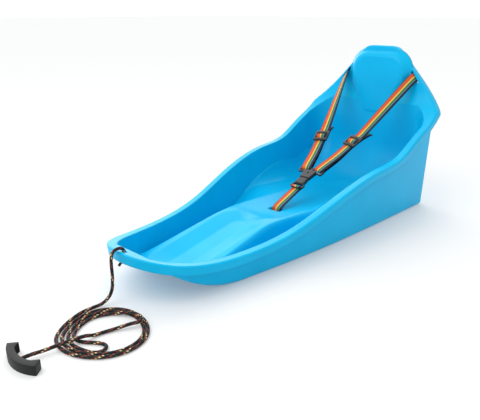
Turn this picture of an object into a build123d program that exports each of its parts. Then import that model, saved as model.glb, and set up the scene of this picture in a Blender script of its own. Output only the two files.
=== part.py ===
from build123d import *
import os
from math import atan2, cos, degrees, pi, radians, sin, sqrt, tan

# Child's plastic sled: a tub with an upswept bow, a rim lip all round and a headrest,
# a webbing harness with a buckle, and a tow rope with a grip.
# +X is forward, +Y the rider's left, +Z up. Millimetres.

# Hull, seen from above
rear_x = -400
nose_x = 410.6
rear_half_width = 160
quarter_x = -197
quarter_half_width = 152
mid_x = 87
mid_half_width = 130
fore_x = 237
fore_half_width = 109
bow_x = 335
bow_half_width = 88
cheek_x = 388
cheek_half_width = 56
rear_flare = 0.025
quarter_flare = 0.078
mid_flare = 0.116
fore_flare = 0.115
nose_flare = 0.078
rear_corner = 9
base_edge = 5

# Hull, seen from the side
bow_start_x = 230
bow_radius = 230
sheer_nose = (460, 104)
sheer_tip = (432, 93)
sheer_cheek = (390, 79)
sheer_low = (245, 63)
sheer_knee = (121, 77)
sheer_waist = (26, 107)
sheer_seat = (-139, 146)
sheer_step = (-229, 158)
sheer_kick = (-250, 167)
sheer_arm = (-304, 195)
sheer_shoulder = (-382, 238)
sheer_neck = (-406, 272)
sheer_head = (-412, 330)
sheer_crown = (-414, 410)
sheer_steps = 28
back_lean_z = 236
head_lean_z = 292
head_rear_x = -422

# Headrest, seen from the front
head_top_z = 387
head_top_half_width = 42
head_side_half_width = 184
head_side_z = 231
head_top_radius = 34
head_side_radius = 45
pad_proud = 1.5
pad_depth = 24
pad_top_z = 365
pad_half_width = 69
pad_side_z = 302
pad_side_radius = 60
pad_top_radius = 36
pad_foot_z = 218
pad_foot_half_width = 30
pad_foot_radius = 20
pad_draft = 40
pad_edge = 5

# Walls and rim
wall = 5
flange = 13
skirt = 18
rim_edge = 3
lip_margin = 10
rim_rear_x = -434
side_reach = 260
hull_reach = 900
below = 600

# Inside of the tub
seat_z = 44
seat_foot_x = -384
back_top_x = -394
back_top_z = 262
back_bend = 95
back_lean = 20
back_margin = 3
inner_corner_radius = 64
tongue_crest_x = 110
tongue_crest_z = 66
crest_bend = 300
tongue_end_x = 330
tongue_end_z = 26
end_bend = 200
tongue_run_out = 60
tongue_rear_half_width = 100
tongue_half_width = 88
tongue_waist = 900
flank_draft = 18
tongue_edge = 6
well_rear_x = -100
well_round = 45
dish_depth = 9
dish_half_width = 62
dish_rear_x = -230
dish_front_x = 40
scoop_rear_x = 80
scoop_depth = 11
scoop_half_width = 43
scoop_draft = 42
scoop_edge = 7

# Slots, rope hole and grooves in the hull
slot_front_x = -409
slot_edge = 10.4
slot_z = 315
head_slope = (head_side_half_width - head_top_half_width) / (head_top_z - head_side_z)
slot_y = head_top_half_width + head_slope * (head_top_z - slot_z) - slot_edge
slot_slant = 55
slot_length = 33
slot_gap = 5
crotch_x = 8
crotch_slot_gap = 12
crotch_slot_length = 32
crotch_roof_z = 44
pocket_length = 46
pocket_width = 66
rope_hole_x = 416
rope_hole = 9
groove_rear_x = -350
groove_front_x = 205
groove_width = 12
groove_depth = 2.5
groove_ys = (-92, -62, 62, 92)

# Harness
webbing_width = 25
webbing_thickness = 1.6
webbing_play = 0.3
adjuster_x = -227
adjuster_y = 45
adjuster_z = 176
adjuster_length = 30
adjuster_width = 36
adjuster_thickness = 4
adjuster_bar = 4
adjuster_corner = 4
middle_bar = 5
strap_lead = 4
strap_end = 2
tail_reach = 34
tail_droop = 12
buckle_x = -98
buckle_z = 102
buckle_rise = 24.5
buckle_width = 26
buckle_thickness = 10
buckle_split = 0.2
socket_length = 24
yoke_body_reach = 28
yoke_body_width = 36
yoke_corner = 4
yoke_edge = 1.5
yoke_dimple = 5
yoke_dimple_reach = 17
yoke_dimple_depth = 1.5
yoke_bar = 4
yoke_window = 7
yoke_bar_reach = 36
yoke_bar_offset = 18
socket_edge = 2.5
bar_eye = yoke_bar * sqrt(2) + 2 * webbing_play
socket_bar_reach = -buckle_split - socket_length - yoke_window - yoke_bar / 2
crotch_bend_z = 68
stop_bar = 5.6
stop_bar_length = 54
stop_bar_z = crotch_roof_z - stop_bar / 2 - webbing_play
buckle_plane = Plane(
    origin=(buckle_x, 0, buckle_z),
    x_dir=(-cos(radians(buckle_rise)), 0, sin(radians(buckle_rise))),
    z_dir=(sin(radians(buckle_rise)), 0, cos(radians(buckle_rise))),
)

# Tow rope and grip
rope = 7
rope_sides = 6
bend_share = 0.45
hang_points = [
    (416, 0, 80.5), (416, 0, 106), (442, 0, 106), (445, 0, 78), (444, 0, 48), (448, 0, 21),
    (463, -4.5, 5), (486, -8.8, 3.9), (509, -9.3, 3.9),
]
lead_points = [
    (457, 91, 18.5), (474, 80, 17.5), (495, 71, 8), (516, 66, 5), (537, 65, 9),
    (557, 63, 20.5), (582, 58, 20.5), (604, 51, 12), (624, 46, 9), (638.8, 46, 9),
]
coil_x = 513
coil_y = 68
coil_outer = 147
coil_inner = 92
coil_height = 14
coil_sides = 24
knot_size = 14
knot_edge = 4
grip_x = 635
grip_y = 46
grip_length = 64
grip_bend = 98
grip_depth = 20
grip_height = 18
grip_wall = 3
grip_rib = 2
grip_rib_ys = (-29, -17, 17, 29)
grip_boss = 14
grip_boss_face = 4


def plan_outline(z, spread, rear):
    """The hull's outline at one height, moved outwards by spread, closed at the rear."""
    half = [
        (rear, rear_half_width + rear_flare * z),
        (quarter_x, quarter_half_width + quarter_flare * z),
        (mid_x, mid_half_width + mid_flare * z),
        (fore_x, fore_half_width + fore_flare * z),
        (bow_x, bow_half_width + fore_flare * z),
        (cheek_x + nose_flare * z, cheek_half_width + nose_flare * z),
        (nose_x + nose_flare * z, 0),
    ]
    moved = [(rear, half[0][1] + spread)]
    for before, here, after in zip(half, half[1:], half[2:]):
        dx = after[0] - before[0]
        dy = after[1] - before[1]
        run = sqrt(dx * dx + dy * dy)
        moved.append((here[0] - dy / run * spread, here[1] + dx / run * spread))
    moved.append((half[-1][0] + spread, 0))
    mirrored = [(x, -y) for x, y in reversed(moved[:-1])]
    sides = Spline(moved + mirrored)
    back = Line(mirrored[-1], moved[0])
    return Pos(0, 0, z) * make_face([sides, back])


def plan_block(spread, rear):
    """The flared hull outline drawn up from the ground to above the headrest."""
    return loft([plan_outline(0, spread, rear), plan_outline(sheer_crown[1], spread, rear)], ruled=True)


def sheer_line(depth):
    """The rim's line seen from the side, moved down into the hull by depth."""
    line = Spline(
        sheer_nose, sheer_tip, sheer_cheek, sheer_low, sheer_knee, sheer_waist, sheer_seat,
        sheer_step, sheer_kick, sheer_arm, sheer_shoulder, sheer_neck, sheer_head, sheer_crown,
    )
    if depth == 0:
        return line
    points = []
    for i in range(sheer_steps + 1):
        here = line.position_at(i / sheer_steps)
        along = line.tangent_at(i / sheer_steps)
        points.append((here.X - along.Y * depth, here.Y + along.X * depth))
    return Spline(points)


def from_side(lines):
    """A closed outline in X and Z, drawn right across the hull."""
    return extrude(Plane.XZ * make_face(lines), amount=side_reach, both=True)


def rim_band(upper, lower):
    """The band between two depths under the rim's line."""
    top = sheer_line(upper)
    bottom = sheer_line(lower)
    return from_side([top, Line(top @ 1, bottom @ 1), bottom, Line(bottom @ 0, top @ 0)])


def head_prism(inset):
    """The headrest's bell outline, drawn along the whole hull."""
    outline = Polyline(
        (-head_side_half_width, -below),
        (-head_side_half_width, head_side_z),
        (-head_top_half_width, head_top_z),
        (head_top_half_width, head_top_z),
        (head_side_half_width, head_side_z),
        (head_side_half_width, -below),
        close=True,
    )
    face = make_face(outline)
    face = fillet(face.vertices().sort_by(Axis.Y)[-2:], head_top_radius)
    shoulders = face.vertices().filter_by(lambda v: abs(v.Y - head_side_z) < 1)
    face = fillet(shoulders, head_side_radius)
    if inset:
        face = offset(face, -inset, kind=Kind.INTERSECTION)
    return extrude(Plane.YZ * face, amount=hull_reach, both=True)


def above_bow(lift):
    """Everything above the flat bottom and the bow's upsweep, raised by lift."""
    bow = RadiusArc((bow_start_x, lift), (bow_start_x + bow_radius - lift, bow_radius), lift - bow_radius)
    edges = Polyline(bow @ 1, (sheer_nose[0], bow_radius), (sheer_nose[0], sheer_crown[1]),
                     (-below, sheer_crown[1]), (-below, lift), bow @ 0)
    return from_side([bow, edges])


def upright_edges(block, rear):
    """The two upright edges of a hull block's rear corners."""
    return block.edges().filter_by(lambda e: e.center().X < rear + 1 and e.tangent_at(0.5).Z**2 > 0.8)


def rear_outline(inset):
    """Side outline of all that lies ahead of the rear wall and of the headrest's back."""
    return Polyline(
        (rear_x + inset, -below), (rear_x + inset, back_lean_z), (head_rear_x + inset, head_lean_z),
        (head_rear_x + inset, sheer_crown[1]), (sheer_nose[0], sheer_crown[1]), (sheer_nose[0], -below), close=True,
    )


def outer_box():
    """The closed body under the rim: tub with bevelled rear corners and base, and the headrest's core."""
    sheer = sheer_line(0)
    behind = Polyline(sheer @ 1, (-below, sheer_crown[1]), (-below, -below), (sheer_nose[0], -below), sheer @ 0)
    under_rim = from_side([sheer, behind]) & head_prism(flange)
    tub = plan_block(0, rear_x)
    tub = chamfer(upright_edges(tub, rear_x), rear_corner)
    box = tub & under_rim & above_bow(0)
    base = box.edges().filter_by(lambda e: e.bounding_box().min.Z < 1 and e.center().Z < sheer_low[1] / 2)
    box = chamfer(base, base_edge)
    behind_seat = Pos(rear_x + wall, 0, back_lean_z) * Box(
        side_reach, 2 * side_reach, below, align=(Align.MAX, Align.CENTER, Align.MIN))
    core = from_side([rear_outline(0)]) & behind_seat
    return box + (core & under_rim)


def tub_inside():
    """The room inside the tub, down to the floor of the leg wells."""
    room = plan_block(-wall, back_top_x - back_margin)
    room = fillet(upright_edges(room, back_top_x), inner_corner_radius)
    back = Polyline(
        (sheer_nose[0], -below), (sheer_nose[0], 2 * below), (back_top_x + back_lean, 2 * below),
        (back_top_x, back_top_z), (seat_foot_x, seat_z), (seat_foot_x, -below), close=True,
    )
    return room & from_side([back]) & above_bow(wall)


def seat_and_tongue():
    """The raised seat and the tongue that runs forward from it between the legs."""
    tip_x = tongue_end_x + tongue_run_out
    top = FilletPolyline(
        (back_top_x, back_top_z), (seat_foot_x, seat_z), (tongue_crest_x, tongue_crest_z),
        (tongue_end_x, tongue_end_z), (tip_x, tongue_end_z),
        radius=[back_bend, crest_bend, end_bend],
    )
    edges = Polyline(top @ 1, (tip_x, -below), (back_top_x, -below), top @ 0)
    body = from_side([top, edges])
    half = [
        (tip_x, tongue_half_width), (tongue_crest_x, tongue_half_width), (well_rear_x, tongue_rear_half_width),
        (well_rear_x, side_reach), (back_top_x - back_margin, side_reach),
    ]
    foot = make_face(Polyline(half + [(x, -y) for x, y in reversed(half)], close=True))
    turns = foot.vertices().filter_by(lambda v: abs(v.X - well_rear_x) < 1 and abs(v.Y) < side_reach - 1)
    foot = fillet(turns, well_round)
    waists = foot.vertices().filter_by(lambda v: abs(v.X - tongue_crest_x) < 1)
    foot = fillet(waists, tongue_waist)
    tongue = body & extrude(foot, amount=back_top_z, taper=flank_draft)
    ridges = tongue.edges().filter_by(
        lambda e: well_rear_x - 2 * well_round < e.center().X < tip_x - 1 and e.bounding_box().min.Z > 0
        and e.center().Z < tongue_crest_z and e.center().Y**2 > scoop_half_width**2 and e.tangent_at(0.5).Z**2 < 0.2)
    return chamfer(ridges, tongue_edge) - seat_dish() - front_scoop()


def seat_dish():
    """The long shallow hollow in the seat and the rear of the tongue."""
    rise = degrees(atan2(tongue_crest_z - seat_z, tongue_crest_x - seat_foot_x))
    start_z = seat_z + (dish_rear_x - seat_foot_x) * tan(radians(rise))
    radius = (dish_half_width**2 + dish_depth**2) / (2 * dish_depth)
    length = dish_front_x - dish_rear_x
    bowl = Rot(Y=90) * Cylinder(radius, length, align=(Align.CENTER, Align.CENTER, Align.MIN))
    bowl += Sphere(radius)
    bowl += Pos(length, 0, 0) * Sphere(radius)
    return Pos(dish_rear_x, 0, start_z) * Rot(Y=-rise) * Pos(0, 0, radius - dish_depth) * bowl


def front_scoop():
    """The flat-bottomed trough in the front of the tongue, round at its rear end."""
    fall = degrees(atan2(tongue_crest_z - tongue_end_z, tongue_end_x - tongue_crest_x))
    length = tongue_end_x - scoop_rear_x
    trough = extrude(SlotCenterToCenter(length, 2 * scoop_half_width), amount=4 * scoop_depth, taper=-scoop_draft)
    trough = chamfer(trough.edges().group_by(Axis.Z)[0], scoop_edge)
    lie = Pos(scoop_rear_x, 0, tongue_crest_z - scoop_depth) * Rot(Y=fall)
    return lie * Pos(scoop_half_width + length / 2, 0, 0) * trough


def headrest_pad():
    """The flat pad that stands out from the headrest, sloping back to it all round."""
    half = [
        (pad_half_width, pad_top_z), (pad_half_width, pad_side_z), (pad_foot_half_width, pad_foot_z),
    ]
    face = make_face(Polyline(half + [(-y, z) for y, z in reversed(half)], close=True))
    face = fillet(face.vertices().filter_by(lambda v: abs(v.Y - pad_top_z) < 1), pad_top_radius)
    face = fillet(face.vertices().filter_by(lambda v: abs(v.Y - pad_side_z) < 1), pad_side_radius)
    face = fillet(face.vertices().filter_by(lambda v: abs(v.Y - pad_foot_z) < 1), pad_foot_radius)
    pad = extrude(face, amount=-pad_depth, taper=-pad_draft)
    pad = chamfer(pad.edges().group_by(Axis.Z)[-1], pad_edge)
    up = Vector(back_top_x - seat_foot_x, 0, back_top_z - seat_z).normalized()
    lie = Plane(origin=(back_top_x + pad_proud, 0, back_top_z), x_dir=(0, 1, 0), z_dir=Vector(0, 1, 0).cross(up))
    return lie * Pos(0, -back_top_z, 0) * pad & from_side([rear_outline(wall / 2)])


def headrest_slot(side):
    """A slanted slot that lets the shoulder strap through the headrest."""
    cut = Box(4 * skirt, slot_length, slot_gap)
    return Pos(back_top_x, side * slot_y, slot_z) * Rot(X=-side * slot_slant) * cut


def build_hull():
    """The one-piece moulding: body, rim lip, headrest, tub, strap slots and rope hole."""
    lip = plan_block(flange, rim_rear_x) & rim_band(0, skirt) & head_prism(0)
    crown = lip.faces().filter_by(GeomType.EXTRUSION).sort_by(SortBy.AREA)[:2]
    brims = crown.edges().filter_by(lambda e: e.bounding_box().size.Y > 1 or e.center().Y**2 > 1)
    lip = chamfer(brims, rim_edge)
    under_lip = plan_block(flange - wall, rim_rear_x - lip_margin) & rim_band(wall, skirt + lip_margin) & head_prism(wall)
    pad = headrest_pad()
    hull = outer_box() + (lip - under_lip) + pad
    hull -= tub_inside() - seat_and_tongue() - pad
    hull -= headrest_slot(1)
    hull -= headrest_slot(-1)
    hull -= Pos(crotch_x, 0, 0) * Box(crotch_slot_gap, crotch_slot_length, 2 * below)
    hull -= Pos(crotch_x, 0, crotch_roof_z / 2) * Box(pocket_length, pocket_width, crotch_roof_z)
    hull -= Pos(rope_hole_x, 0, sheer_tip[1]) * Cylinder(rope_hole / 2, 2 * skirt)
    for y in groove_ys:
        groove = Box(groove_front_x - groove_rear_x, groove_width, 2 * groove_depth)
        hull -= Pos((groove_front_x + groove_rear_x) / 2, y, 0) * groove
    return hull


def webbing_section(plane):
    """The webbing's flat cross-section on a plane whose X runs across the strap."""
    return plane * Rectangle(webbing_width, webbing_thickness)


def loop_band(run, gap):
    """A closed band of doubled webbing round two bars, run apart at their centres."""
    inner = SlotCenterToCenter(run, gap)
    outer = SlotCenterToCenter(run, gap + 2 * webbing_thickness)
    return extrude(outer - inner, amount=webbing_width / 2, both=True)


def shoulder_points(side):
    """The strap's slot in the headrest, its adjuster, and its bar on the buckle's yoke."""
    slot = Vector(slot_front_x, side * slot_y, slot_z)
    adjuster = Vector(adjuster_x, side * adjuster_y, adjuster_z)
    bar = buckle_plane.from_local_coords(Vector(yoke_bar_reach, -side * yoke_bar_offset, 0))
    return slot, adjuster, bar


def strap_plane(side):
    """Plane of the adjuster: X along the strap to the headrest, Z out of its face."""
    slot, adjuster, bar = shoulder_points(side)
    along = (adjuster - bar).normalized()
    across = buckle_plane.z_dir.cross(along).normalized()
    return Plane(origin=adjuster, x_dir=along, z_dir=along.cross(across))


def build_adjuster(side):
    """A slide of three bars, with its corners cut off."""
    plate = Rectangle(adjuster_length, adjuster_width)
    plate = chamfer(plate.vertices(), adjuster_corner)
    for end in (1, -1):
        plate -= Pos(end * (adjuster_length - 2 * adjuster_bar + middle_bar) / 4, 0) * Rectangle(
            (adjuster_length - 2 * adjuster_bar - middle_bar) / 2, webbing_width + 2 * webbing_play)
    slide = extrude(plate, amount=adjuster_thickness / 2, both=True)
    return strap_plane(side) * slide


def build_shoulder_strap(side):
    """Webbing from behind the headrest, through its slot, to the adjuster's middle bar."""
    slot, adjuster, bar = shoulder_points(side)
    lie = strap_plane(side)
    slant = Vector(0, cos(radians(slot_slant)), -side * sin(radians(slot_slant)))
    behind = Plane(origin=(head_rear_x, slot.Y, slot.Z), x_dir=slant, z_dir=(1, 0, 0))
    front = Plane(origin=slot, x_dir=slant, z_dir=(1, 0, 0))
    clear = adjuster_thickness / 2 + webbing_play + webbing_thickness / 2
    stations = [
        (adjuster_length / 2 + strap_lead, -clear),
        (adjuster_length / 2 - adjuster_bar, -clear),
        (middle_bar / 2, clear),
        (-middle_bar / 2 - strap_end, clear),
    ]
    planes = [behind, front]
    for along, height in stations:
        spot = lie.from_local_coords(Vector(along, 0, height))
        planes.append(Plane(origin=spot, x_dir=lie.y_dir, z_dir=-lie.x_dir))
    strap = Part()
    for start, end in zip(planes, planes[1:]):
        strap += loft([webbing_section(start), webbing_section(end)], ruled=True)
    return strap


def build_back_run():
    """Webbing that joins the two shoulder straps behind the headrest."""
    strip = Box(webbing_thickness, 2 * slot_y - webbing_width / 2, webbing_width)
    return Pos(head_rear_x - webbing_play - webbing_thickness / 2, 0, slot_z) * strip


def build_strap_loop(side):
    """Doubled webbing between the adjuster's lower bar and the buckle's yoke, with its loose tail."""
    slot, adjuster, bar = shoulder_points(side)
    lie = strap_plane(side)
    upper = Vector(adjuster_bar / 2 - adjuster_length / 2, 0, 0)
    run = (lie.from_local_coords(upper) - bar).length
    middle = (lie.from_local_coords(upper) + bar) / 2
    band = Plane(origin=middle, x_dir=lie.x_dir, z_dir=lie.y_dir) * loop_band(run, bar_eye)
    layer = (bar_eye + webbing_thickness) / 2
    stations = [
        (upper.X - adjuster_bar, layer),
        (upper.X, layer),
        (adjuster_length / 2, layer + 2 * webbing_thickness),
        (adjuster_length / 2 + tail_reach, layer + 2 * webbing_thickness + tail_droop),
    ]
    planes = []
    for along, depth in stations:
        spot = lie.from_local_coords(Vector(along, 0, -depth))
        planes.append(Plane(origin=spot, x_dir=lie.y_dir, z_dir=-lie.x_dir))
    for start, end in zip(planes, planes[1:]):
        band += loft([webbing_section(start), webbing_section(end)], ruled=True)
    return band


def build_yoke():
    """The Y-shaped upper half of the buckle, with a slanted bar for each shoulder strap."""
    half = [(buckle_split, buckle_width / 2), (yoke_body_reach, yoke_body_width / 2)]
    body = make_face(Polyline(half + [(x, -y) for x, y in reversed(half)], close=True))
    body = fillet(body.vertices().group_by(Axis.X)[-1], yoke_corner)
    body = extrude(body, amount=buckle_thickness / 2, both=True)
    body = chamfer(body.edges().group_by(Axis.Z)[0] + body.edges().group_by(Axis.Z)[-1], yoke_edge)
    dimple = Cylinder(yoke_dimple / 2, yoke_dimple_depth, align=(Align.CENTER, Align.CENTER, Align.MAX))
    body -= Pos(yoke_dimple_reach, 0, buckle_thickness / 2) * dimple
    arms = Sketch()
    windows = Sketch()
    for side in (1, -1):
        slot, adjuster, bar = shoulder_points(side)
        way = buckle_plane.to_local_coords(adjuster) - buckle_plane.to_local_coords(bar)
        spot = Pos(yoke_bar_reach, -side * yoke_bar_offset) * Rot(Z=degrees(atan2(way.Y, way.X)))
        frame_length = yoke_window + 2 * yoke_bar
        arm = Rectangle(frame_length, webbing_width + 2 * webbing_play + 2 * yoke_bar)
        arm = chamfer(arm.vertices(), yoke_edge)
        arms += spot * Pos(yoke_bar / 2 - frame_length / 2, 0) * arm
        windows += spot * Pos(-yoke_bar / 2 - yoke_window / 2, 0) * Rectangle(
            yoke_window, webbing_width + 2 * webbing_play)
    frame = extrude(arms - windows, amount=yoke_bar / 2, both=True)
    body -= extrude(windows, amount=buckle_thickness, both=True)
    return buckle_plane * (body + frame)


def build_socket():
    """The lower half of the buckle, with a bar that holds the crotch strap."""
    body = Box(socket_length, buckle_width, buckle_thickness)
    body = chamfer(body.edges(), socket_edge)
    body = Pos(-buckle_split - socket_length / 2, 0, 0) * body
    frame = yoke_window + yoke_bar + socket_edge
    tail = Rectangle(frame, webbing_width + 2 * webbing_play + 2 * yoke_bar)
    tail = chamfer(tail.vertices(), socket_edge / 2)
    tail -= Pos(yoke_bar + (yoke_window - frame) / 2, 0) * Rectangle(yoke_window, webbing_width + 2 * webbing_play)
    tail = extrude(tail, amount=yoke_bar / 2, both=True)
    return buckle_plane * (body + Pos(socket_edge - buckle_split - socket_length - frame / 2, 0, 0) * tail)


def build_crotch_strap():
    """Webbing with an eye at each end: round the socket's bar and round the stop bar under the floor."""
    socket_eye = buckle_plane.from_local_coords(Vector(socket_bar_reach, 0, 0))
    middle = (bar_eye + webbing_thickness) / 2
    high = Vector(socket_eye.X, socket_eye.Z)
    low = Vector(crotch_x, stop_bar_z)
    bend = Vector(crotch_x - middle, crotch_bend_z)
    way = (bend - high).normalized()
    start = high + Vector(way.Y, -way.X) * middle
    path = FilletPolyline(
        (start.X, start.Y), (bend.X, bend.Y), (bend.X, low.Y), radius=3 * webbing_thickness)
    strap = make_face(offset(path, webbing_thickness / 2, side=Side.BOTH))
    for eye in (high, low):
        ring = Circle(bar_eye / 2 + webbing_thickness) - Circle(bar_eye / 2)
        strap += Pos(eye.X, eye.Y) * ring
    for eye in (high, low):
        strap -= Pos(eye.X, eye.Y) * Circle(bar_eye / 2)
    return extrude(Plane.XZ * strap, amount=webbing_width / 2, both=True)


def build_stop_bar():
    """The bar under the floor that keeps the crotch strap from pulling out."""
    bar = Rot(X=90) * Cylinder(stop_bar / 2, stop_bar_length)
    return Pos(crotch_x, 0, stop_bar_z) * bar


def cord_tube(points):
    """A cord along a route, each corner as large a bend as its two runs allow."""
    route = [Vector(*p) for p in points]
    radii = []
    for before, here, after in zip(route, route[1:], route[2:]):
        turn = radians((here - before).get_angle(after - here))
        shorter = min((here - before).length, (after - here).length)
        radii.append(bend_share * shorter / tan(turn / 2))
    path = FilletPolyline(*route, radius=radii)
    section = Plane(origin=path @ 0, z_dir=path % 0) * RegularPolygon(rope / 2, rope_sides)
    tube = sweep(section, path=path)
    print("rope", round(path.length), [round(r) for r in radii], round(tube.volume / (section.area * path.length), 4))
    return tube


def build_coil():
    """The outer shape of the loose coil that lies on the floor."""
    ring = RegularPolygon(coil_outer / 2, coil_sides) - RegularPolygon(coil_inner / 2, coil_sides)
    coil = extrude(ring, amount=coil_height)
    rims = coil.edges().group_by(Axis.Z)
    coil = chamfer(rims[0] + rims[-1], rope / 2)
    return Pos(coil_x, coil_y, 0) * coil


def build_knot():
    """The stopper knot under the rope hole, flat where the rope leaves it."""
    knot = extrude(RegularPolygon(knot_size / 2, rope_sides), amount=-knot_size)
    rims = knot.edges().group_by(Axis.Z)
    knot = chamfer(rims[0] + rims[-1], knot_edge)
    return Pos(rope_hole_x, 0, hang_points[0][2]) * knot


def grip_face(inset):
    """The grip's bow outline from above, with rounded ends, made smaller all round by inset."""
    line = RadiusArc((0, -grip_length / 2), (0, grip_length / 2), -grip_bend)
    return make_face(offset(line, grip_depth / 2 - inset, side=Side.BOTH))


def build_handle():
    """The bow-shaped grip: a channel open towards the rope, with ribs and a boss for the rope."""
    grip = extrude(grip_face(0), amount=grip_height)
    room_height = grip_height - 2 * grip_wall
    inside = Pos(0, 0, grip_wall) * extrude(grip_face(grip_wall), amount=room_height)
    grip -= inside + Pos(-grip_depth / 2, 0, 0) * inside
    for y in grip_rib_ys:
        rib = Pos(0, y, grip_height / 2) * Box(2 * grip_depth, grip_rib, room_height)
        grip += rib & inside
    boss = Pos(grip_boss_face + grip_depth / 2, 0, grip_height / 2) * Box(grip_depth, grip_boss, room_height)
    grip += boss & inside
    return Pos(grip_x, grip_y, 0) * grip


os.makedirs("parts", exist_ok=True)
nodes = {"hull": build_hull()}
for side, name in ((1, "left"), (-1, "right")):
    nodes[f"adjuster_{name}"] = build_adjuster(side)
    nodes[f"shoulder_strap_{name}"] = build_shoulder_strap(side)
    nodes[f"strap_loop_{name}"] = build_strap_loop(side)
nodes["strap_back_run"] = build_back_run()
nodes["buckle_yoke"] = build_yoke()
nodes["buckle_socket"] = build_socket()
nodes["crotch_strap"] = build_crotch_strap()
nodes["crotch_stop_bar"] = build_stop_bar()
nodes["tow_rope_hang"] = cord_tube(hang_points)
nodes["tow_rope_coil"] = build_coil()
nodes["tow_rope_lead"] = cord_tube(lead_points)
nodes["tow_rope_knot"] = build_knot()
nodes["tow_handle"] = build_handle()
for name, solid in nodes.items():
    export_step(solid, f"parts/{name}.step")
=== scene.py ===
from math import cos, hypot, pi, radians, sin, sqrt

import bmesh
import bpy
from mathutils import Matrix, Vector


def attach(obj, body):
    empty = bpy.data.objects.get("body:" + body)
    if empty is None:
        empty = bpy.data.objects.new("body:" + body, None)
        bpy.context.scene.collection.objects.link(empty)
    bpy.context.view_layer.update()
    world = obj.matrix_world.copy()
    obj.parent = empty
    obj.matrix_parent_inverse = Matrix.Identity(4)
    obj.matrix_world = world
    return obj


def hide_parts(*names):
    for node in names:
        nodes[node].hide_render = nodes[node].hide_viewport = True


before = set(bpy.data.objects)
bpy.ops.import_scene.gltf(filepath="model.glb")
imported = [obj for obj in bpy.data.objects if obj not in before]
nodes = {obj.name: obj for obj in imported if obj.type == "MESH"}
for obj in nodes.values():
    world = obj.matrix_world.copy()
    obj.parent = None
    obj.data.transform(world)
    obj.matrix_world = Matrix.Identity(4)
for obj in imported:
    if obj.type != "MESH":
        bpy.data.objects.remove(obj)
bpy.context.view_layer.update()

# The studio: a sweep of white paper under an overcast dome that is brightest on its window side, one large
# soft box, and a camera that looks down on the sled from ahead of its left bow.
camera_target = Vector((0.1255, 0.0, 0.0839))
camera_place = Vector((0.9056, 0.7178, 0.4769))
camera_lens_mm = 40.85
floor_width = 60
floor_glow = 0.18
soft_box_width = 1.6
soft_box_watts = 20
soft_box_place = Vector((1.5, -0.3, 1.9))
dome_top_height = 0.9
dome_low_light = 0.7
dome_top_light = 0.98
window_direction = (-0.5, -0.77, 0.38)
window_edge = 0.55
window_core = 0.95
window_extra_light = 1.7


def linear(hex_code):
    """An sRGB hex colour as linear RGBA."""
    channels = [int(hex_code[i:i + 2], 16) / 255 for i in (1, 3, 5)]
    light = [c / 12.92 if c <= 0.04045 else ((c + 0.055) / 1.055) ** 2.4 for c in channels]
    return (*light, 1.0)


def add_node(material, kind, settings, inputs):
    """Adds a shader node: its settings by name, its inputs by name or number as a value or a socket to link."""
    node = material.node_tree.nodes.new(kind)
    for name, value in settings.items():
        setattr(node, name, value)
    for name, value in inputs.items():
        if isinstance(value, bpy.types.NodeSocket):
            material.node_tree.links.new(value, node.inputs[name])
        else:
            node.inputs[name].default_value = value
    return node


def new_material(name):
    """A node material and its main shader."""
    material = bpy.data.materials.new(name)
    material.use_nodes = True
    return material, material.node_tree.nodes["Principled BSDF"]


bpy.ops.object.select_all(action="DESELECT")
camera_data = bpy.data.cameras.new("camera")
camera_data.sensor_width = 36
camera_data.lens = camera_lens_mm
camera = bpy.data.objects.new("camera", camera_data)
bpy.context.collection.objects.link(camera)
camera.location = camera_place
camera.rotation_euler = (camera_target - camera_place).to_track_quat("-Z", "Y").to_euler()
bpy.context.scene.camera = camera

floor_paper, floor_shader = new_material("white_paper_sweep")
floor_shader.inputs["Base Color"].default_value = linear("#d3d4d4")
floor_shader.inputs["Roughness"].default_value = 0.95
floor_shader.inputs["Specular IOR Level"].default_value = 0.0
floor_shader.inputs["Emission Color"].default_value = linear("#ffffff")
floor_shader.inputs["Emission Strength"].default_value = floor_glow
bpy.ops.mesh.primitive_plane_add(size=floor_width)
floor = bpy.context.object
floor.name = "floor"
floor.data.materials.append(floor_paper)

soft_box_data = bpy.data.lights.new("soft_box", "AREA")
soft_box_data.size = soft_box_width
soft_box_data.energy = soft_box_watts
soft_box = bpy.data.objects.new("soft_box", soft_box_data)
bpy.context.collection.objects.link(soft_box)
soft_box.location = soft_box_place
soft_box.rotation_euler = (-soft_box_place).to_track_quat("-Z", "Y").to_euler()
dome = bpy.data.worlds.new("overcast_dome")
bpy.context.scene.world = dome
dome.use_nodes = True
dome_way = add_node(dome, "ShaderNodeTexCoord", {}, {})
dome_height = add_node(dome, "ShaderNodeSeparateXYZ", {}, {0: dome_way.outputs["Generated"]})
dome_light = add_node(dome, "ShaderNodeMapRange", {}, {
    "Value": dome_height.outputs["Z"], "From Min": 0.0, "From Max": dome_top_height,
    "To Min": dome_low_light, "To Max": dome_top_light})
window_way = add_node(dome, "ShaderNodeVectorMath", {"operation": "DOT_PRODUCT"}, {
    0: dome_way.outputs["Generated"], 1: window_direction})
window_light = add_node(dome, "ShaderNodeMapRange", {}, {
    "Value": window_way.outputs["Value"], "From Min": window_edge, "From Max": window_core,
    "To Min": 0.0, "To Max": window_extra_light})
both_lights = add_node(dome, "ShaderNodeMath", {"operation": "ADD"}, {
    0: dome_light.outputs["Result"], 1: window_light.outputs["Result"]})
dome_shader = dome.node_tree.nodes["Background"]
dome_shader.inputs["Color"].default_value = linear("#ffffff")
dome.node_tree.links.new(both_lights.outputs[0], dome_shader.inputs["Strength"])
bpy.context.scene.view_settings.view_transform = "Standard"

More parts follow.
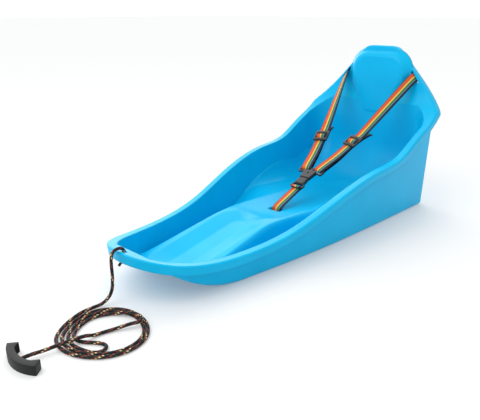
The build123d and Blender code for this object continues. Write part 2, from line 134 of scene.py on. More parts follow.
# The tow rope: black polypropylene braid with coloured tracer yarns, knotted under the hole in the bow,
# let down over the lip to the ground, and laid in a loose coil that turns back on itself and leads to the grip.
rope_mm = 6.0
floor_gap_mm = 0.1
hang_mm = [
    (416, 0, 80.5), (416, 0, 97), (441, 0, 97.5), (445, 0, 78), (444, 0, 48), (448, 0, 21),
    (463, -4.5, 5), (486, -8.8, 3.9), (509, -9.3, 3.6),
]
coil_middle_mm = (513, 68)
coil_start_deg = -60
points_per_turn = 12
coil_ring_mm = [71.4, 74, 69.5, 66, 67.3, 70.5, 72, 70, 70.5, 74, 73.3, 69]
coil_points = 27
turn_pitch_mm = 7.8
fan_out_mm = 1.4
fan_out_deg = -30
turn_back_mm = [
    (558, 94, 3.1), (551, 105, 3.1), (541, 109, 3.1), (531, 104, 3.1), (530, 93, 3.1), (537, 82, 3.1),
    (547, 70, 3.1), (553, 58, 3.1), (552, 45, 3.1), (542, 33, 3.1), (524, 22, 3.1), (503, 17, 3.1),
    (482, 23, 3.1), (465, 38, 4.2), (454, 56, 8.6), (449, 74, 9.2), (452, 88, 9.4), (462, 93, 9.4),
]
lead_mm = [
    (474, 85, 8.4), (495, 74, 4), (516, 66, 3.1), (530, 65, 4.4), (543, 64.5, 11), (588, 57, 11.2),
    (606, 51, 8.5), (624, 46, 9), (638.8, 46, 9),
]
coil_mm = []
for i in range(coil_points):
    angle_deg = coil_start_deg + 360 * i / points_per_turn
    pitch_mm = turn_pitch_mm + fan_out_mm * cos(radians(angle_deg - fan_out_deg))
    reach_mm = coil_ring_mm[i % points_per_turn] - pitch_mm * (i // points_per_turn)
    coil_mm.append((
        coil_middle_mm[0] + reach_mm * cos(radians(angle_deg)),
        coil_middle_mm[1] + reach_mm * sin(radians(angle_deg)),
        rope_mm / 2 + floor_gap_mm,
    ))


def smooth_line(name, points_mm, steps):
    """Points read from a NURBS line through a rope's route, in metres."""
    curve = bpy.data.curves.new(name, "CURVE")
    curve.dimensions = "3D"
    spline = curve.splines.new("NURBS")
    spline.points.add(len(points_mm) - 1)
    for point, place in zip(spline.points, points_mm):
        point.co = (place[0] / 1000, place[1] / 1000, place[2] / 1000, 1)
    spline.order_u = 3
    spline.use_endpoint_u = True
    spline.resolution_u = steps
    route = bpy.data.objects.new(name, curve)
    bpy.context.collection.objects.link(route)
    bpy.context.view_layer.update()
    mesh = bpy.data.meshes.new_from_object(route)
    line = [v.co.copy() for v in mesh.vertices]
    bpy.data.objects.remove(route)
    bpy.data.curves.remove(curve)
    bpy.data.meshes.remove(mesh)
    return line


braid_yarns = 8
braid_lay_mm = 10.0
yarns_per_lay = 2
braid_relief_mm = 0.3
braid_sides = 24
rope_steps = 20
fibre_mm = 1.111


def braided_tube(name, line, thick_mm):
    """A closed tube along a line, with the diamond relief of a braid and a UV map round and along it."""
    vertices = []
    faces = []
    uvs = []
    travelled = [0.0]
    out = (line[1] - line[0]).orthogonal().normalized()
    for i, place in enumerate(line):
        ahead = (line[min(i + 1, len(line) - 1)] - line[max(i - 1, 0)]).normalized()
        out = (out - ahead * out.dot(ahead)).normalized()
        side = ahead.cross(out)
        if i:
            travelled.append(travelled[-1] + (place - line[i - 1]).length)
        lay = 2 * pi * travelled[-1] * 1000 / braid_lay_mm
        for k in range(braid_sides):
            turn = 2 * pi * k / braid_sides
            diamond = cos(braid_yarns / 2 * turn + lay) * cos(braid_yarns / 2 * turn - lay)
            radius = (thick_mm / 2 - braid_relief_mm * (0.5 - 0.5 * diamond)) / 1000
            vertices.append(place + (out * cos(turn) + side * sin(turn)) * radius)
    for i in range(len(line) - 1):
        for k in range(braid_sides):
            here = i * braid_sides
            there = here + braid_sides
            after = (k + 1) % braid_sides
            faces.append((here + k, here + after, there + after, there + k))
            u0 = k / braid_sides
            u1 = (k + 1) / braid_sides
            uvs += [(u0, travelled[i]), (u1, travelled[i]), (u1, travelled[i + 1]), (u0, travelled[i + 1])]
    faces.append(tuple(reversed(range(braid_sides))))
    faces.append(tuple(len(vertices) - braid_sides + k for k in range(braid_sides)))
    uvs += [(0.0, 0.0)] * braid_sides + [(0.0, travelled[-1])] * braid_sides
    mesh = bpy.data.meshes.new(name)
    mesh.from_pydata(vertices, [], faces)
    layer = mesh.uv_layers.new(name="braid")
    for loop, uv in zip(layer.data, uvs):
        loop.uv = uv
    mesh.polygons.foreach_set("use_smooth", [True] * len(mesh.polygons))
    tube = bpy.data.objects.new(name, mesh)
    bpy.context.collection.objects.link(tube)
    return tube


# Braided polypropylene: eight matt yarns each way, black but for two red and one cream one way and two green
# the other. They show as slanted flecks where they come to the top. The fibres are drawn coarse so that they show.
rope_yarn, yarn_shader = new_material("braided_polypropylene_black")
braid_uv = add_node(rope_yarn, "ShaderNodeUVMap", {"uv_map": "braid"}, {})
braid_parts = add_node(rope_yarn, "ShaderNodeSeparateXYZ", {}, {0: braid_uv.outputs["UV"]})
round_it = add_node(rope_yarn, "ShaderNodeMath", {"operation": "MULTIPLY"},
                    {0: braid_parts.outputs["X"], 1: braid_yarns})
along_it = add_node(rope_yarn, "ShaderNodeMath", {"operation": "MULTIPLY"},
                    {0: braid_parts.outputs["Y"], 1: yarns_per_lay * 1000 / braid_lay_mm})
right_lay = add_node(rope_yarn, "ShaderNodeMath", {"operation": "ADD"},
                     {0: round_it.outputs[0], 1: along_it.outputs[0]})
left_lay = add_node(rope_yarn, "ShaderNodeMath", {"operation": "SUBTRACT"},
                    {0: round_it.outputs[0], 1: along_it.outputs[0]})
right_yarn = add_node(rope_yarn, "ShaderNodeMath", {"operation": "FLOOR"}, {0: right_lay.outputs[0]})
left_yarn = add_node(rope_yarn, "ShaderNodeMath", {"operation": "FLOOR"}, {0: left_lay.outputs[0]})
both_yarns = add_node(rope_yarn, "ShaderNodeMath", {"operation": "ADD"},
                      {0: right_yarn.outputs[0], 1: left_yarn.outputs[0]})
on_top = add_node(rope_yarn, "ShaderNodeMath", {"operation": "FLOORED_MODULO"}, {0: both_yarns.outputs[0], 1: 2.0})
yarn_black = "#111419"
yarn_red = "#9a2f2c"
yarn_cream = "#dcc590"
yarn_green = "#264a36"
yarn_tints = []
for yarn, tints in (
    (right_yarn, ((0.0, yarn_black), (0.125, yarn_red), (0.25, yarn_cream), (0.375, yarn_black),
                  (0.625, yarn_red), (0.75, yarn_black))),
    (left_yarn, ((0.0, yarn_black), (0.25, yarn_green), (0.375, yarn_black), (0.75, yarn_green),
                 (0.875, yarn_black))),
):
    yarn_number = add_node(rope_yarn, "ShaderNodeMath", {"operation": "FLOORED_MODULO"},
                           {0: yarn.outputs[0], 1: braid_yarns})
    yarn_share = add_node(rope_yarn, "ShaderNodeMath", {"operation": "MULTIPLY_ADD"},
                          {0: yarn_number.outputs[0], 1: 1 / braid_yarns, 2: 0.5 / braid_yarns})
    yarn_tint = add_node(rope_yarn, "ShaderNodeValToRGB", {}, {"Fac": yarn_share.outputs[0]})
    yarn_tint.color_ramp.interpolation = "CONSTANT"
    yarn_tint.color_ramp.elements[0].color = linear(tints[0][1])
    yarn_tint.color_ramp.elements[1].position = tints[1][0]
    yarn_tint.color_ramp.elements[1].color = linear(tints[1][1])
    for start, tint in tints[2:]:
        yarn_tint.color_ramp.elements.new(start).color = linear(tint)
    yarn_tints.append(yarn_tint)
braid_tint = add_node(rope_yarn, "ShaderNodeMix", {"data_type": "RGBA"}, {
    "Factor": on_top.outputs[0], 6: yarn_tints[0].outputs["Color"], 7: yarn_tints[1].outputs["Color"]})
fibre_fuzz = add_node(rope_yarn, "ShaderNodeTexNoise", {}, {
    "Vector": braid_uv.outputs["UV"], "Scale": 1000 / fibre_mm, "Detail": 3.0})
fibre_bump = add_node(rope_yarn, "ShaderNodeBump", {}, {
    "Height": fibre_fuzz.outputs["Fac"], "Strength": 0.25, "Distance": 0.0003})
rope_yarn.node_tree.links.new(braid_tint.outputs[2], yarn_shader.inputs["Base Color"])
rope_yarn.node_tree.links.new(fibre_bump.outputs["Normal"], yarn_shader.inputs["Normal"])
yarn_shader.inputs["Roughness"].default_value = 0.7
yarn_shader.inputs["Specular IOR Level"].default_value = 0.3

rope_line = smooth_line("tow_rope_route", hang_mm + coil_mm + turn_back_mm + lead_mm, rope_steps)
tow_rope = braided_tube("tow_rope", rope_line, rope_mm)
tow_rope.data.materials.append(rope_yarn)
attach(tow_rope, "root")
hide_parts("tow_rope_hang", "tow_rope_coil", "tow_rope_lead")

# The stopper knot: the rope's end tied in an overhand knot under the lip, which keeps it from slipping out of
# the hole. It is the same braid, pulled tight, with two short ends.
knot_reach_mm = 1.75
knot_height_mm = 3.4
knot_rope_mm = 5.2
knot_middle_mm = (416, 0, 73)
knot_points = 24
knot_steps = 6
first_tail_mm = [(424, -8.5, 61), (421.5, -6, 66), (418, -3, 71)]
last_tail_mm = [(413, 4, 71), (410.5, 7, 66), (408.5, 9, 60.5)]
overhand_mm = []
for k in range(knot_points):
    turn = 2 * pi * k / knot_points
    overhand_mm.append((
        knot_middle_mm[0] + knot_reach_mm * (sin(turn) + 2 * sin(2 * turn)),
        knot_middle_mm[1] + knot_reach_mm * (cos(turn) - 2 * cos(2 * turn)),
        knot_middle_mm[2] - knot_height_mm * sin(3 * turn),
    ))
knot_line = smooth_line("stopper_knot_route", first_tail_mm + overhand_mm + last_tail_mm, knot_steps)
stopper_knot = braided_tube("stopper_knot", knot_line, knot_rope_mm)
stopper_knot.data.materials.append(rope_yarn)
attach(stopper_knot, "root")
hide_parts("tow_rope_knot")

# The grip: a bowed bar of black polypropylene, cored out with a row of pockets on its hollow side, with a solid
# middle that the rope's end is held in. It is moulded in one shot, with an even grain, drawn coarse so it shows.
grip_middle_mm = (582, 46)
grip_bend_mm = 62.0
grip_thick_mm = 12.0
grip_height_mm = 16.5
grip_reach_mm = 41.0
grip_pockets = 9
pocket_depth_mm = 6.5
pocket_wall_mm = 1.5
solid_half_mm = 6.0
grip_hook_mm = 5.0
hook_start_mm = 0.6 * grip_reach_mm
grip_round_mm = 2.2
grip_grain_mm = 0.7143


def step(value, start, end):
    """A soft step from 0 at start to 1 at end."""
    share = min(max((value - start) / (end - start), 0.0), 1.0)
    return share * share * (3 - 2 * share)


bpy.ops.object.select_all(action="DESELECT")
bpy.ops.mesh.primitive_grid_add(x_subdivisions=1, y_subdivisions=grip_pockets * 2, size=1)
grip = bpy.context.object
grip.name = "tow_grip"
grip.data.name = "tow_grip"
bpy.ops.object.mode_set(mode="EDIT")
bpy.ops.mesh.select_all(action="SELECT")
bpy.ops.transform.resize(value=(grip_thick_mm / 1000, 2 * grip_reach_mm / 1000, 1))
bpy.ops.mesh.extrude_region_move(TRANSFORM_OT_translate={"value": (0, 0, grip_height_mm / 1000)})
bpy.ops.mesh.select_all(action="SELECT")
bpy.ops.mesh.normals_make_consistent(inside=False)
bpy.ops.mesh.select_all(action="DESELECT")
bpy.ops.mesh.select_mode(type="FACE")
grip_mesh = bmesh.from_edit_mesh(grip.data)
for face in grip_mesh.faces:
    face.select = face.normal.x < -0.9 and abs(face.calc_center_median().y) > solid_half_mm / 1000
bmesh.update_edit_mesh(grip.data)
bpy.ops.mesh.inset(thickness=pocket_wall_mm / 1000, depth=-pocket_depth_mm / 1000, use_individual=True)
grip_mesh = bmesh.from_edit_mesh(grip.data)
for vert in grip_mesh.verts:
    turn = vert.co.y * 1000 / grip_bend_mm
    reach = grip_bend_mm + vert.co.x * 1000
    if vert.co.x < 0:
        reach -= grip_hook_mm * step(abs(vert.co.y) * 1000, hook_start_mm, grip_reach_mm)
    vert.co = Vector((
        (grip_middle_mm[0] + reach * cos(turn)) / 1000, (grip_middle_mm[1] + reach * sin(turn)) / 1000, vert.co.z))
bmesh.update_edit_mesh(grip.data)
bpy.ops.object.mode_set(mode="OBJECT")
grip_round = grip.modifiers.new("round_edges", "BEVEL")
grip_round.width = grip_round_mm / 1000
grip_round.segments = 3
grip_round.limit_method = "ANGLE"
grip_round.angle_limit = radians(50)
bpy.ops.object.modifier_apply(modifier="round_edges")
bpy.ops.object.shade_smooth_by_angle(angle=radians(35))
grip_black, grip_shader = new_material("moulded_polypropylene_black")
grip_place = add_node(grip_black, "ShaderNodeTexCoord", {}, {})
grip_grain = add_node(grip_black, "ShaderNodeTexNoise", {}, {
    "Vector": grip_place.outputs["Object"], "Scale": 1000 / grip_grain_mm, "Detail": 2.0})
grip_bump = add_node(grip_black, "ShaderNodeBump", {}, {
    "Height": grip_grain.outputs["Fac"], "Strength": 0.15, "Distance": 0.0002})
grip_black.node_tree.links.new(grip_bump.outputs["Normal"], grip_shader.inputs["Normal"])
grip_shader.inputs["Base Color"].default_value = linear("#0b0c0e")
grip_shader.inputs["Roughness"].default_value = 0.5
grip_shader.inputs["IOR"].default_value = 1.49
grip_shader.inputs["Specular IOR Level"].default_value = 0.3
grip.data.materials.clear()
grip.data.materials.append(grip_black)
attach(grip, "root")
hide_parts("tow_handle")

# The hull: one moulding of high-density polyethylene, sky blue right through, with a satin skin that
# mirrors broad lights softly and a faint orange peel.
tint_cloud_mm = 71.43
orange_peel_mm = 3.846
hull_edge_mm = 5.0
sky_blue, sky_shader = new_material("moulded_polyethylene_sky_blue")
hull_place = add_node(sky_blue, "ShaderNodeTexCoord", {}, {})
hull_cloud = add_node(sky_blue, "ShaderNodeTexNoise", {}, {
    "Vector": hull_place.outputs["Object"], "Scale": 1000 / tint_cloud_mm, "Detail": 3.0})
hull_tint = add_node(sky_blue, "ShaderNodeValToRGB", {}, {"Fac": hull_cloud.outputs["Fac"]})
hull_tint.color_ramp.elements[0].position = 0.3
hull_tint.color_ramp.elements[0].color = linear("#00afe0")
hull_tint.color_ramp.elements[1].position = 0.7
hull_tint.color_ramp.elements[1].color = linear("#02b5e6")
hull_sheen = add_node(sky_blue, "ShaderNodeMapRange", {}, {
    "Value": hull_cloud.outputs["Fac"], "To Min": 0.27, "To Max": 0.35})
orange_peel = add_node(sky_blue, "ShaderNodeTexNoise", {}, {
    "Vector": hull_place.outputs["Object"], "Scale": 1000 / orange_peel_mm, "Detail": 2.0})
hull_edges = add_node(sky_blue, "ShaderNodeBevel", {"samples": 8}, {"Radius": hull_edge_mm / 1000})
hull_bump = add_node(sky_blue, "ShaderNodeBump", {}, {
    "Height": orange_peel.outputs["Fac"], "Strength": 0.08, "Distance": 0.0003, "Normal": hull_edges.outputs["Normal"]})
sky_blue.node_tree.links.new(hull_tint.outputs["Color"], sky_shader.inputs["Base Color"])
sky_blue.node_tree.links.new(hull_sheen.outputs["Result"], sky_shader.inputs["Roughness"])
sky_blue.node_tree.links.new(hull_bump.outputs["Normal"], sky_shader.inputs["Normal"])
sky_shader.inputs["IOR"].default_value = 1.5
sky_shader.inputs["Specular IOR Level"].default_value = 0.14
nodes["hull"].data.materials.clear()
nodes["hull"].data.materials.append(sky_blue)

# The inside of the tub: the skin of the same moulding over the seat, the tongue and the leg wells. It runs down
# the back in one sweep, swells between the wells in soft curves and ends in a trough; the wells run out aft.
pan_front_mm = 345.0
pan_columns = 140
pan_front_rows = 156
pan_bend_rows = 26
pan_back_rows = 12
pan_back_mm = 62.0
pan_proud_mm = 0.6
pan_sink_mm = 0.9
pan_sink_x_mm = 300
pan_skin_mm = 2.0
seat_foot_mm = (-384.0, 44.0)
tongue_top_mm = (110, 66)
tongue_toe_mm = (330, 26)
crest_ease_mm = 5
crest_ease_steps = 7
dish_x_mm = (-230, 40)
dish_deep_mm = 9
dish_bowl_mm = 218
trough_head_x_mm = 132
trough_deep_mm = 10.5
trough_floor_mm = 20
trough_edge_mm = 56
trough_fade_x_mm = (280, 335)
trough_fade = 0.4
bow_middle_mm = (230, 230)
bow_curve_mm = 225
well_end_x_mm = (70, -95)
flank_foot_mm = 100
flank_taper_mm = 12
flank_taper_x_mm = (-100, 110)
flank_slope = 0.325
flank_soft_mm = 4
seat_rise_deg = 2.55
back_rise_deg = 92.6
seat_bend_mm = 110.0
side_bend_mm = 48.0
side_bend_x_mm = (-20, -200)
steepest_bend = 0.997
corner_draw_in_mm = 6.5
corner_x_mm = (-320, -384)
wall_mm = 5.0
wall_line_mm = ((-400, 160, 0.025), (-197, 152, 0.078), (87, 130, 0.116), (237, 109, 0.115), (335, 88, 0.115))
slot_half_mm = (6.5, 16.5)
slot_x_mm = 8.0


def crest_line(x):
    """The height of the seat and the tongue along the middle of the sled, with its corners eased."""
    foot_x, foot_z = seat_foot_mm
    top_x, top_z = tongue_top_mm
    toe_x, toe_z = tongue_toe_mm
    heights = []
    for k in range(-crest_ease_steps, crest_ease_steps + 1):
        place = x + crest_ease_mm * k
        if place < top_x:
            heights.append(foot_z + (place - foot_x) * (top_z - foot_z) / (top_x - foot_x))
        else:
            heights.append(max(top_z - (place - top_x) * (top_z - toe_z) / (toe_x - top_x), toe_z))
    return sum(heights) / len(heights)


def wall_reach(x, z):
    """Half the width of the hull at a height, by the curve through its widths, each with its own flare."""
    total = 0.0
    for station in wall_line_mm:
        station_x, half_width, flare = station
        share = half_width + flare * z
        for other in wall_line_mm:
            if other != station:
                share *= (x - other[0]) / (station_x - other[0])
        total += share
    return total


def dish_depth(x, y):
    """The depth of the shallow hollow in the seat."""
    away = hypot(y, max(dish_x_mm[0] - x, x - dish_x_mm[1], 0))
    return max(dish_deep_mm - away * away / (2 * dish_bowl_mm), 0)


def side_bend(x, y, z):
    """How far the skin stands off in the bend between the seat and the side wall."""
    radius = side_bend_mm * step(x, *side_bend_x_mm)
    into = abs(y) - (wall_reach(x, z) - wall_mm - radius)
    into = min(max(into, 0), steepest_bend * radius)
    return radius - sqrt(radius**2 - into**2)


def pan_height(x, y):
    """The height of the tub's floor ahead of the bend in the seat."""
    bow = bow_middle_mm[1] - sqrt(bow_curve_mm**2 - max(x - bow_middle_mm[0], 0)**2)
    top = crest_line(x)
    well = bow + (top - bow) * step(x, *well_end_x_mm)
    taper = (x - flank_taper_x_mm[0]) / (flank_taper_x_mm[1] - flank_taper_x_mm[0])
    foot = flank_foot_mm - flank_taper_mm * min(max(taper, 0), 1)
    brow = foot - top * flank_slope
    flank = step(abs(y), brow - flank_soft_mm, foot + flank_soft_mm)
    top -= dish_depth(x, y)
    trough = (trough_edge_mm - hypot(y, max(trough_head_x_mm - x, 0))) / (trough_edge_mm - trough_floor_mm)
    top -= trough_deep_mm * min(max(trough, 0), 1) * (1 - step(x, *trough_fade_x_mm) * trough_fade)
    proud = pan_proud_mm - (pan_proud_mm + pan_sink_mm) * step(x, pan_sink_x_mm, pan_front_mm)
    return max(top + (well - top) * flank, bow) + proud + side_bend(x, y, top)


seat_way = Vector((cos(radians(seat_rise_deg)), 0, sin(radians(seat_rise_deg))))
back_way = Vector((cos(radians(back_rise_deg)), 0, sin(radians(back_rise_deg))))
seat_foot = Vector((seat_foot_mm[0], 0, seat_foot_mm[1]))
bend_front = seat_foot + seat_way * seat_bend_mm
bend_middle = bend_front + Vector((-seat_way.z, 0, seat_way.x)) * seat_bend_mm


def pan_place(row, across):
    """A point of the skin: its row counts down the back, round the bend and forward; across is from -1 to 1."""
    rows_behind = pan_back_rows + pan_bend_rows
    if row >= rows_behind:
        x = bend_front.x + (pan_front_mm - bend_front.x) * (row - rows_behind) / pan_front_rows
        reach = wall_reach(x, crest_line(x)) - wall_mm / 2
        reach = wall_reach(x, pan_height(x, across * reach)) - wall_mm / 2
        return Vector((x, across * reach, pan_height(x, across * reach)))
    proud = pan_proud_mm
    if row >= pan_back_rows:
        turn = radians(back_rise_deg - seat_rise_deg) * (rows_behind - row) / pan_bend_rows
        inward = Vector((sin(turn - radians(seat_rise_deg)), 0, cos(turn - radians(seat_rise_deg))))
        base = bend_middle - inward * seat_bend_mm
    else:
        share = 1 - row / pan_back_rows
        base = seat_foot + back_way * (seat_bend_mm + pan_back_mm * share)
        inward = Vector((back_way.z, 0, -back_way.x))
        proud -= (pan_proud_mm + pan_sink_mm) * share
    y = across * (wall_reach(base.x, base.z) - wall_mm / 2 - corner_draw_in_mm * step(base.x, *corner_x_mm))
    return base + inward * (proud - dish_depth(base.x, y) + side_bend(base.x, y, base.z)) + Vector((0, y, 0))


bpy.ops.object.select_all(action="DESELECT")
pan_rows = pan_back_rows + pan_bend_rows + pan_front_rows
bpy.ops.mesh.primitive_grid_add(x_subdivisions=pan_rows, y_subdivisions=pan_columns, size=2)
seat_pan = bpy.context.object
seat_pan.name = "seat_pan"
seat_pan.data.name = "seat_pan"
for vert in seat_pan.data.vertices:
    vert.co = pan_place(round((vert.co.x + 1) / 2 * pan_rows), vert.co.y) / 1000
bpy.ops.object.mode_set(mode="EDIT")
bpy.ops.mesh.select_all(action="DESELECT")
bpy.ops.mesh.select_mode(type="FACE")
pan_mesh = bmesh.from_edit_mesh(seat_pan.data)
for face in pan_mesh.faces:
    middle = face.calc_center_median() * 1000
    face.select = abs(middle.x - slot_x_mm) < slot_half_mm[0] and abs(middle.y) < slot_half_mm[1]
bmesh.update_edit_mesh(seat_pan.data)
bpy.ops.mesh.delete(type="FACE")
bpy.ops.object.mode_set(mode="OBJECT")
pan_skin = seat_pan.modifiers.new("skin", "SOLIDIFY")
pan_skin.thickness = pan_skin_mm / 1000
pan_skin.offset = -1
bpy.ops.object.modifier_apply(modifier="skin")
bpy.ops.object.shade_smooth_by_angle(angle=radians(40))
seat_pan.data.materials.clear()
seat_pan.data.materials.append(sky_blue)
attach(seat_pan, "root")

# The harness's plastic: two strap slides, a two-part buckle and a stop bar, injection-moulded in black
# acetal, with a spark-eroded grain, drawn coarse so that it shows, and small round edges.
slide_length_mm = 33.0
slide_width_mm = 36.0
slide_thick_mm = 4.6
slide_end_mm = 7.5
slide_bar_mm = 5.0
slide_window_mm = 26.0
slide_round_mm = 1.1
cutter_mm = 20
buckle_grain_mm = 0.625
buckle_edge_mm = 1.0
buckle_black, buckle_shader = new_material("moulded_acetal_black")
buckle_place = add_node(buckle_black, "ShaderNodeTexCoord", {}, {})
buckle_grain = add_node(buckle_black, "ShaderNodeTexNoise", {}, {
    "Vector": buckle_place.outputs["Object"], "Scale": 1000 / buckle_grain_mm, "Detail": 2.0})
buckle_edges = add_node(buckle_black, "ShaderNodeBevel", {"samples": 6}, {"Radius": buckle_edge_mm / 1000})
buckle_bump = add_node(buckle_black, "ShaderNodeBump", {}, {
    "Height": buckle_grain.outputs["Fac"], "Strength": 0.15, "Distance": 0.0002,
    "Normal": buckle_edges.outputs["Normal"]})
buckle_black.node_tree.links.new(buckle_bump.outputs["Normal"], buckle_shader.inputs["Normal"])
buckle_shader.inputs["Base Color"].default_value = linear("#191b1e")
buckle_shader.inputs["Roughness"].default_value = 0.36
buckle_shader.inputs["IOR"].default_value = 1.48
for name in ("buckle_yoke", "buckle_socket", "crotch_stop_bar"):
    nodes[name].data.materials.clear()
    nodes[name].data.materials.append(buckle_black)


def strap_slide(name, lie, stands_for):
    """A three-bar slide: a plate with two windows, its edges rounded, laid along a strap."""
    bpy.ops.object.select_all(action="DESELECT")
    bpy.ops.mesh.primitive_cube_add(size=1)
    plate = bpy.context.object
    plate.name = name
    plate.data.name = name
    plate.data.transform(Matrix.Diagonal((slide_length_mm / 1000, slide_width_mm / 1000, slide_thick_mm / 1000, 1)))
    window_mm = (slide_length_mm - 2 * slide_end_mm - slide_bar_mm) / 2
    for end in (1, -1):
        bpy.ops.mesh.primitive_cube_add(size=1)
        cutter = bpy.context.object
        cutter.data.transform(Matrix.Translation((end * (slide_bar_mm + window_mm) / 2000, 0, 0)) @ Matrix.Diagonal(
            (window_mm / 1000, slide_window_mm / 1000, cutter_mm / 1000, 1)))
        bpy.ops.object.select_all(action="DESELECT")
        bpy.context.view_layer.objects.active = plate
        plate.select_set(True)
        cut = plate.modifiers.new("window", "BOOLEAN")
        cut.operation = "DIFFERENCE"
        cut.object = cutter
        bpy.ops.object.modifier_apply(modifier="window")
        bpy.data.objects.remove(cutter)
    rounding = plate.modifiers.new("rounding", "BEVEL")
    rounding.width = slide_round_mm / 1000
    rounding.segments = 3
    rounding.limit_method = "ANGLE"
    bpy.ops.object.modifier_apply(modifier="rounding")
    bpy.ops.object.shade_smooth_by_angle(angle=radians(35))
    plate.data.transform(lie)
    plate.data.materials.clear()
    plate.data.materials.append(buckle_black)
    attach(plate, "root")
    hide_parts(stands_for)


# The harness's webbing: 25 mm woven polyester, striped across from red to navy, threaded through slots
# in the headrest, the slides and the buckle.
webbing_mm = 25.0
webbing_thick_mm = 1.6
stripes = (
    (0.0, "#4a2320"), (0.05, "#dd5a30"), (0.37, "#f0c552"), (0.51, "#2c7a41"), (0.7, "#6a8ea8"),
    (0.78, "#17223a"), (0.96, "#0d1320"),
)
rib_mm = 1.3
striped_webbing, webbing_shader = new_material("woven_polyester_striped")
webbing_uv = add_node(striped_webbing, "ShaderNodeUVMap", {"uv_map": "webbing"}, {})
webbing_parts = add_node(striped_webbing, "ShaderNodeSeparateXYZ", {}, {0: webbing_uv.outputs["UV"]})
stripe_colours = add_node(striped_webbing, "ShaderNodeValToRGB", {}, {"Fac": webbing_parts.outputs["X"]})
stripe_ramp = stripe_colours.color_ramp
stripe_ramp.interpolation = "CONSTANT"
stripe_ramp.elements[0].color = linear(stripes[0][1])
stripe_ramp.elements[1].position = stripes[1][0]
stripe_ramp.elements[1].color = linear(stripes[1][1])
for start, colour in stripes[2:]:
    stripe_ramp.elements.new(start).color = linear(colour)
webbing_shader.inputs["Roughness"].default_value = 0.65
webbing_shader.inputs["Specular IOR Level"].default_value = 0.25
# Warp ribs and weft picks, drawn at 1.3 mm so that they show. Their height also scales the stripe colour: painted shade
# in the hollows of the weave and a painted highlight on its tops.
pick_wave = add_node(striped_webbing, "ShaderNodeMath", {"operation": "MULTIPLY"},
                     {0: webbing_parts.outputs["Y"], 1: 2 * pi * 1000 / rib_mm})
rib_wave = add_node(striped_webbing, "ShaderNodeMath", {"operation": "MULTIPLY"},
                    {0: webbing_parts.outputs["X"], 1: 2 * pi * webbing_mm / rib_mm})
pick_height = add_node(striped_webbing, "ShaderNodeMath", {"operation": "SINE"}, {0: pick_wave.outputs[0]})
rib_height = add_node(striped_webbing, "ShaderNodeMath", {"operation": "SINE"}, {0: rib_wave.outputs[0]})
weave_height = add_node(striped_webbing, "ShaderNodeMath", {"operation": "MULTIPLY"},
                        {0: pick_height.outputs[0], 1: rib_height.outputs[0]})
# Painted shade and highlight: the stripe colour is darkened to 0.78 in the weave's hollows and lifted to 1.05 on its
# tops.
weave_painted_shade = add_node(striped_webbing, "ShaderNodeMapRange", {}, {
    "Value": weave_height.outputs[0], "From Min": -1.0, "From Max": 1.0, "To Min": 0.78, "To Max": 1.05})
stripes_with_painted_weave_shade = add_node(striped_webbing, "ShaderNodeVectorMath", {"operation": "SCALE"}, {
    0: stripe_colours.outputs["Color"], "Scale": weave_painted_shade.outputs["Result"]})
weave_bump = add_node(striped_webbing, "ShaderNodeBump", {}, {
    "Height": weave_height.outputs[0], "Strength": 0.4, "Distance": 0.0003})
striped_webbing.node_tree.links.new(stripes_with_painted_weave_shade.outputs[0], webbing_shader.inputs["Base Color"])
striped_webbing.node_tree.links.new(weave_bump.outputs["Normal"], webbing_shader.inputs["Normal"])


def lay_webbing(name, stations, stands_for):
    """A strap laid through stations, each a middle point and the way across it, in millimetres."""
    half = webbing_mm / 2
    edges = [((middle - across * half) / 1000, (middle + across * half) / 1000) for middle, across in stations]
    bpy.ops.object.select_all(action="DESELECT")
    bpy.ops.mesh.primitive_plane_add(size=1)
    strap = bpy.context.object
    strap.name = name
    strap.data.name = name
    bpy.ops.object.mode_set(mode="EDIT")
    mesh = bmesh.from_edit_mesh(strap.data)
    first = sorted(mesh.verts, key=lambda v: (v.co.y, v.co.x))
    for vert, place in zip(first, (*edges[0], *edges[1])):
        vert.co = place
    last = first[2:]
    for left, right in edges[2:]:
        bpy.ops.mesh.select_all(action="DESELECT")
        bpy.ops.mesh.select_mode(type="EDGE")
        joint = [e for e in last[0].link_edges if e in last[1].link_edges][0]
        joint.select = True
        bmesh.update_edit_mesh(strap.data)
        bpy.ops.mesh.extrude_edges_move(TRANSFORM_OT_translate={"value": (0, 0, 0)})
        mesh = bmesh.from_edit_mesh(strap.data)
        ends = [v for v in mesh.verts if v.select]
        pairs = {v: e.other_vert(v) for v in last for e in v.link_edges if e.other_vert(v) in ends}
        last = [pairs[last[0]], pairs[last[1]]]
        last[0].co = left
        last[1].co = right
    layer = mesh.loops.layers.uv.new("webbing")
    travelled = [0.0]
    for (a, b), (c, d) in zip(edges, edges[1:]):
        travelled.append(travelled[-1] + ((c + d) / 2 - (a + b) / 2).length)
    for face in mesh.faces:
        for loop in face.loops:
            gaps = [min((loop.vert.co - a).length, (loop.vert.co - b).length) for a, b in edges]
            row = gaps.index(min(gaps))
            on_left = (loop.vert.co - edges[row][0]).length < (loop.vert.co - edges[row][1]).length
            loop[layer].uv = (0.0 if on_left else 1.0, travelled[row])
    bmesh.update_edit_mesh(strap.data)
    bpy.ops.object.mode_set(mode="OBJECT")
    rounder = strap.modifiers.new("rounder", "SUBSURF")
    rounder.levels = 3
    rounder.render_levels = 3
    rounder.boundary_smooth = "PRESERVE_CORNERS"
    bpy.ops.object.modifier_apply(modifier="rounder")
    thickness = strap.modifiers.new("thickness", "SOLIDIFY")
    thickness.thickness = webbing_thick_mm / 1000
    thickness.offset = 0
    bpy.ops.object.modifier_apply(modifier="thickness")
    bpy.ops.object.shade_smooth_by_angle(angle=radians(40))
    strap.data.materials.clear()
    strap.data.materials.append(striped_webbing)
    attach(strap, "root")
    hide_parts(*stands_for)


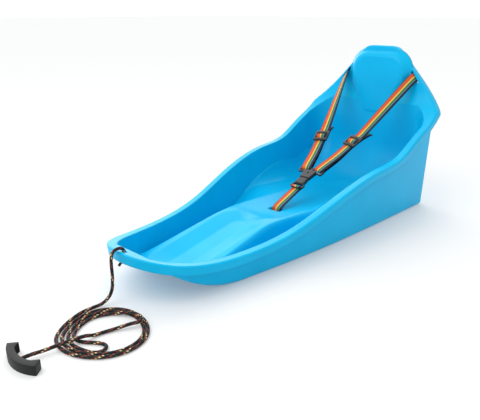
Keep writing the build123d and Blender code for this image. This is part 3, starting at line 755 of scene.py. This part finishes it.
buckle_tilt = radians(24.5)
buckle_middle = Vector((-98, 0, 102))
buckle_back = Vector((-cos(buckle_tilt), 0, sin(buckle_tilt)))
buckle_face = Vector((sin(buckle_tilt), 0, cos(buckle_tilt)))
yoke_bar_back_mm = 36
yoke_bar_side_mm = 18
socket_eye_mm = 33.2
slot_tilt = radians(55)
slot_back_x_mm = -424
strap_layer_mm = 3.93
for side, hand in ((1, "left"), (-1, "right")):
    slot = Vector((-409, side * 97.1, 315))
    slot_across = Vector((0, cos(slot_tilt), -side * sin(slot_tilt)))
    adjuster = Vector((-227, side * 45, 176))
    yoke_bar = buckle_middle + buckle_back * yoke_bar_back_mm + Vector((0, side * yoke_bar_side_mm, 0))
    along = (adjuster - yoke_bar).normalized()
    across = -buckle_face.cross(along).normalized()
    out = across.cross(along).normalized()
    if out.z < 0:
        out = -out
    slide_place = Matrix((
        (along.x, across.x, out.x, adjuster.x / 1000),
        (along.y, across.y, out.y, adjuster.y / 1000),
        (along.z, across.z, out.z, adjuster.z / 1000),
        (0, 0, 0, 1),
    ))
    strap_slide(f"strap_slide_{hand}", slide_place, f"adjuster_{hand}")

    def at(reach, height):
        """A spot on the line from the buckle to the slide, height above it."""
        return adjuster + along * reach + out * height

    lay_webbing(f"shoulder_webbing_{hand}", [
        (Vector((slot_back_x_mm, slot.y, slot.z)), slot_across),
        (slot, slot_across),
        (slot.lerp(at(20, -3.2), 0.1), slot_across.lerp(across, 0.06).normalized()),
        (slot.lerp(at(20, -3.2), 0.5), slot_across.lerp(across, 0.5).normalized()),
        (at(32, -3.2), across),
        (at(20, -3.4), across),
        (at(11, -3.2), across),
        (at(5.6, 0.2), across),
        (at(2.4, 3.5), across),
        (at(-2.4, 3.5), across),
        (at(-5.6, 0.2), across),
        (at(-9, -2.8), across),
    ], [f"shoulder_strap_{hand}"])
    bar_gap = (adjuster - yoke_bar).length
    lay_webbing(f"loop_webbing_{hand}", [
        (at(52, -17), across),
        (at(34, -11), across),
        (at(16, -7.6), across),
        (at(-10, -5.6), across),
        (at(-24, -5), across),
        (at(-0.5 * bar_gap, -strap_layer_mm - 5), across),
        (at(12 - bar_gap, -strap_layer_mm), across),
        (at(1 - bar_gap, -strap_layer_mm), across),
        (at(-strap_layer_mm - bar_gap, -2.4), across),
        (at(-strap_layer_mm - bar_gap, 2.4), across),
        (at(1 - bar_gap, strap_layer_mm), across),
        (at(12 - bar_gap, strap_layer_mm - 0.5), across),
        (at(-0.5 * bar_gap, -2.5), across),
        (at(-26, -2), across),
        (at(-14, -3.4), across),
        (at(-4, -3.6), across),
    ], [f"strap_loop_{hand}"])

crosswise = Vector((0, 1, 0))
eye = buckle_middle - buckle_back * socket_eye_mm
eye_ring = [
    (eye + Vector((strap_layer_mm * cos(radians(a)), 0, strap_layer_mm * sin(radians(a)))), crosswise)
    for a in (20, 70, 120, 170, 220)
]
lay_webbing("crotch_webbing", eye_ring + [
    (eye + Vector((1.5, 0, -4.6)), crosswise),
    (Vector((-50, 0, 77.5)), crosswise),
    (Vector((-25, 0, 68)), crosswise),
    (Vector((-4, 0, 59.8)), crosswise),
    (Vector((2.8, 0, 56)), crosswise),
    (Vector((4.1, 0, 50)), crosswise),
    (Vector((4.1, 0, 41)), crosswise),
    (Vector((5.4, 0, 37.6)), crosswise),
    (Vector((10.6, 0, 37.6)), crosswise),
    (Vector((11.9, 0, 41)), crosswise),
    (Vector((11.2, 0, 43.4)), crosswise),
], ["crotch_strap"])
upright = Vector((0, 0, 1))
lay_webbing("back_webbing", [
    (Vector((-423.1, y, 315)), upright) for y in (-91, -60, 0, 60, 91)
], ["strap_back_run"])
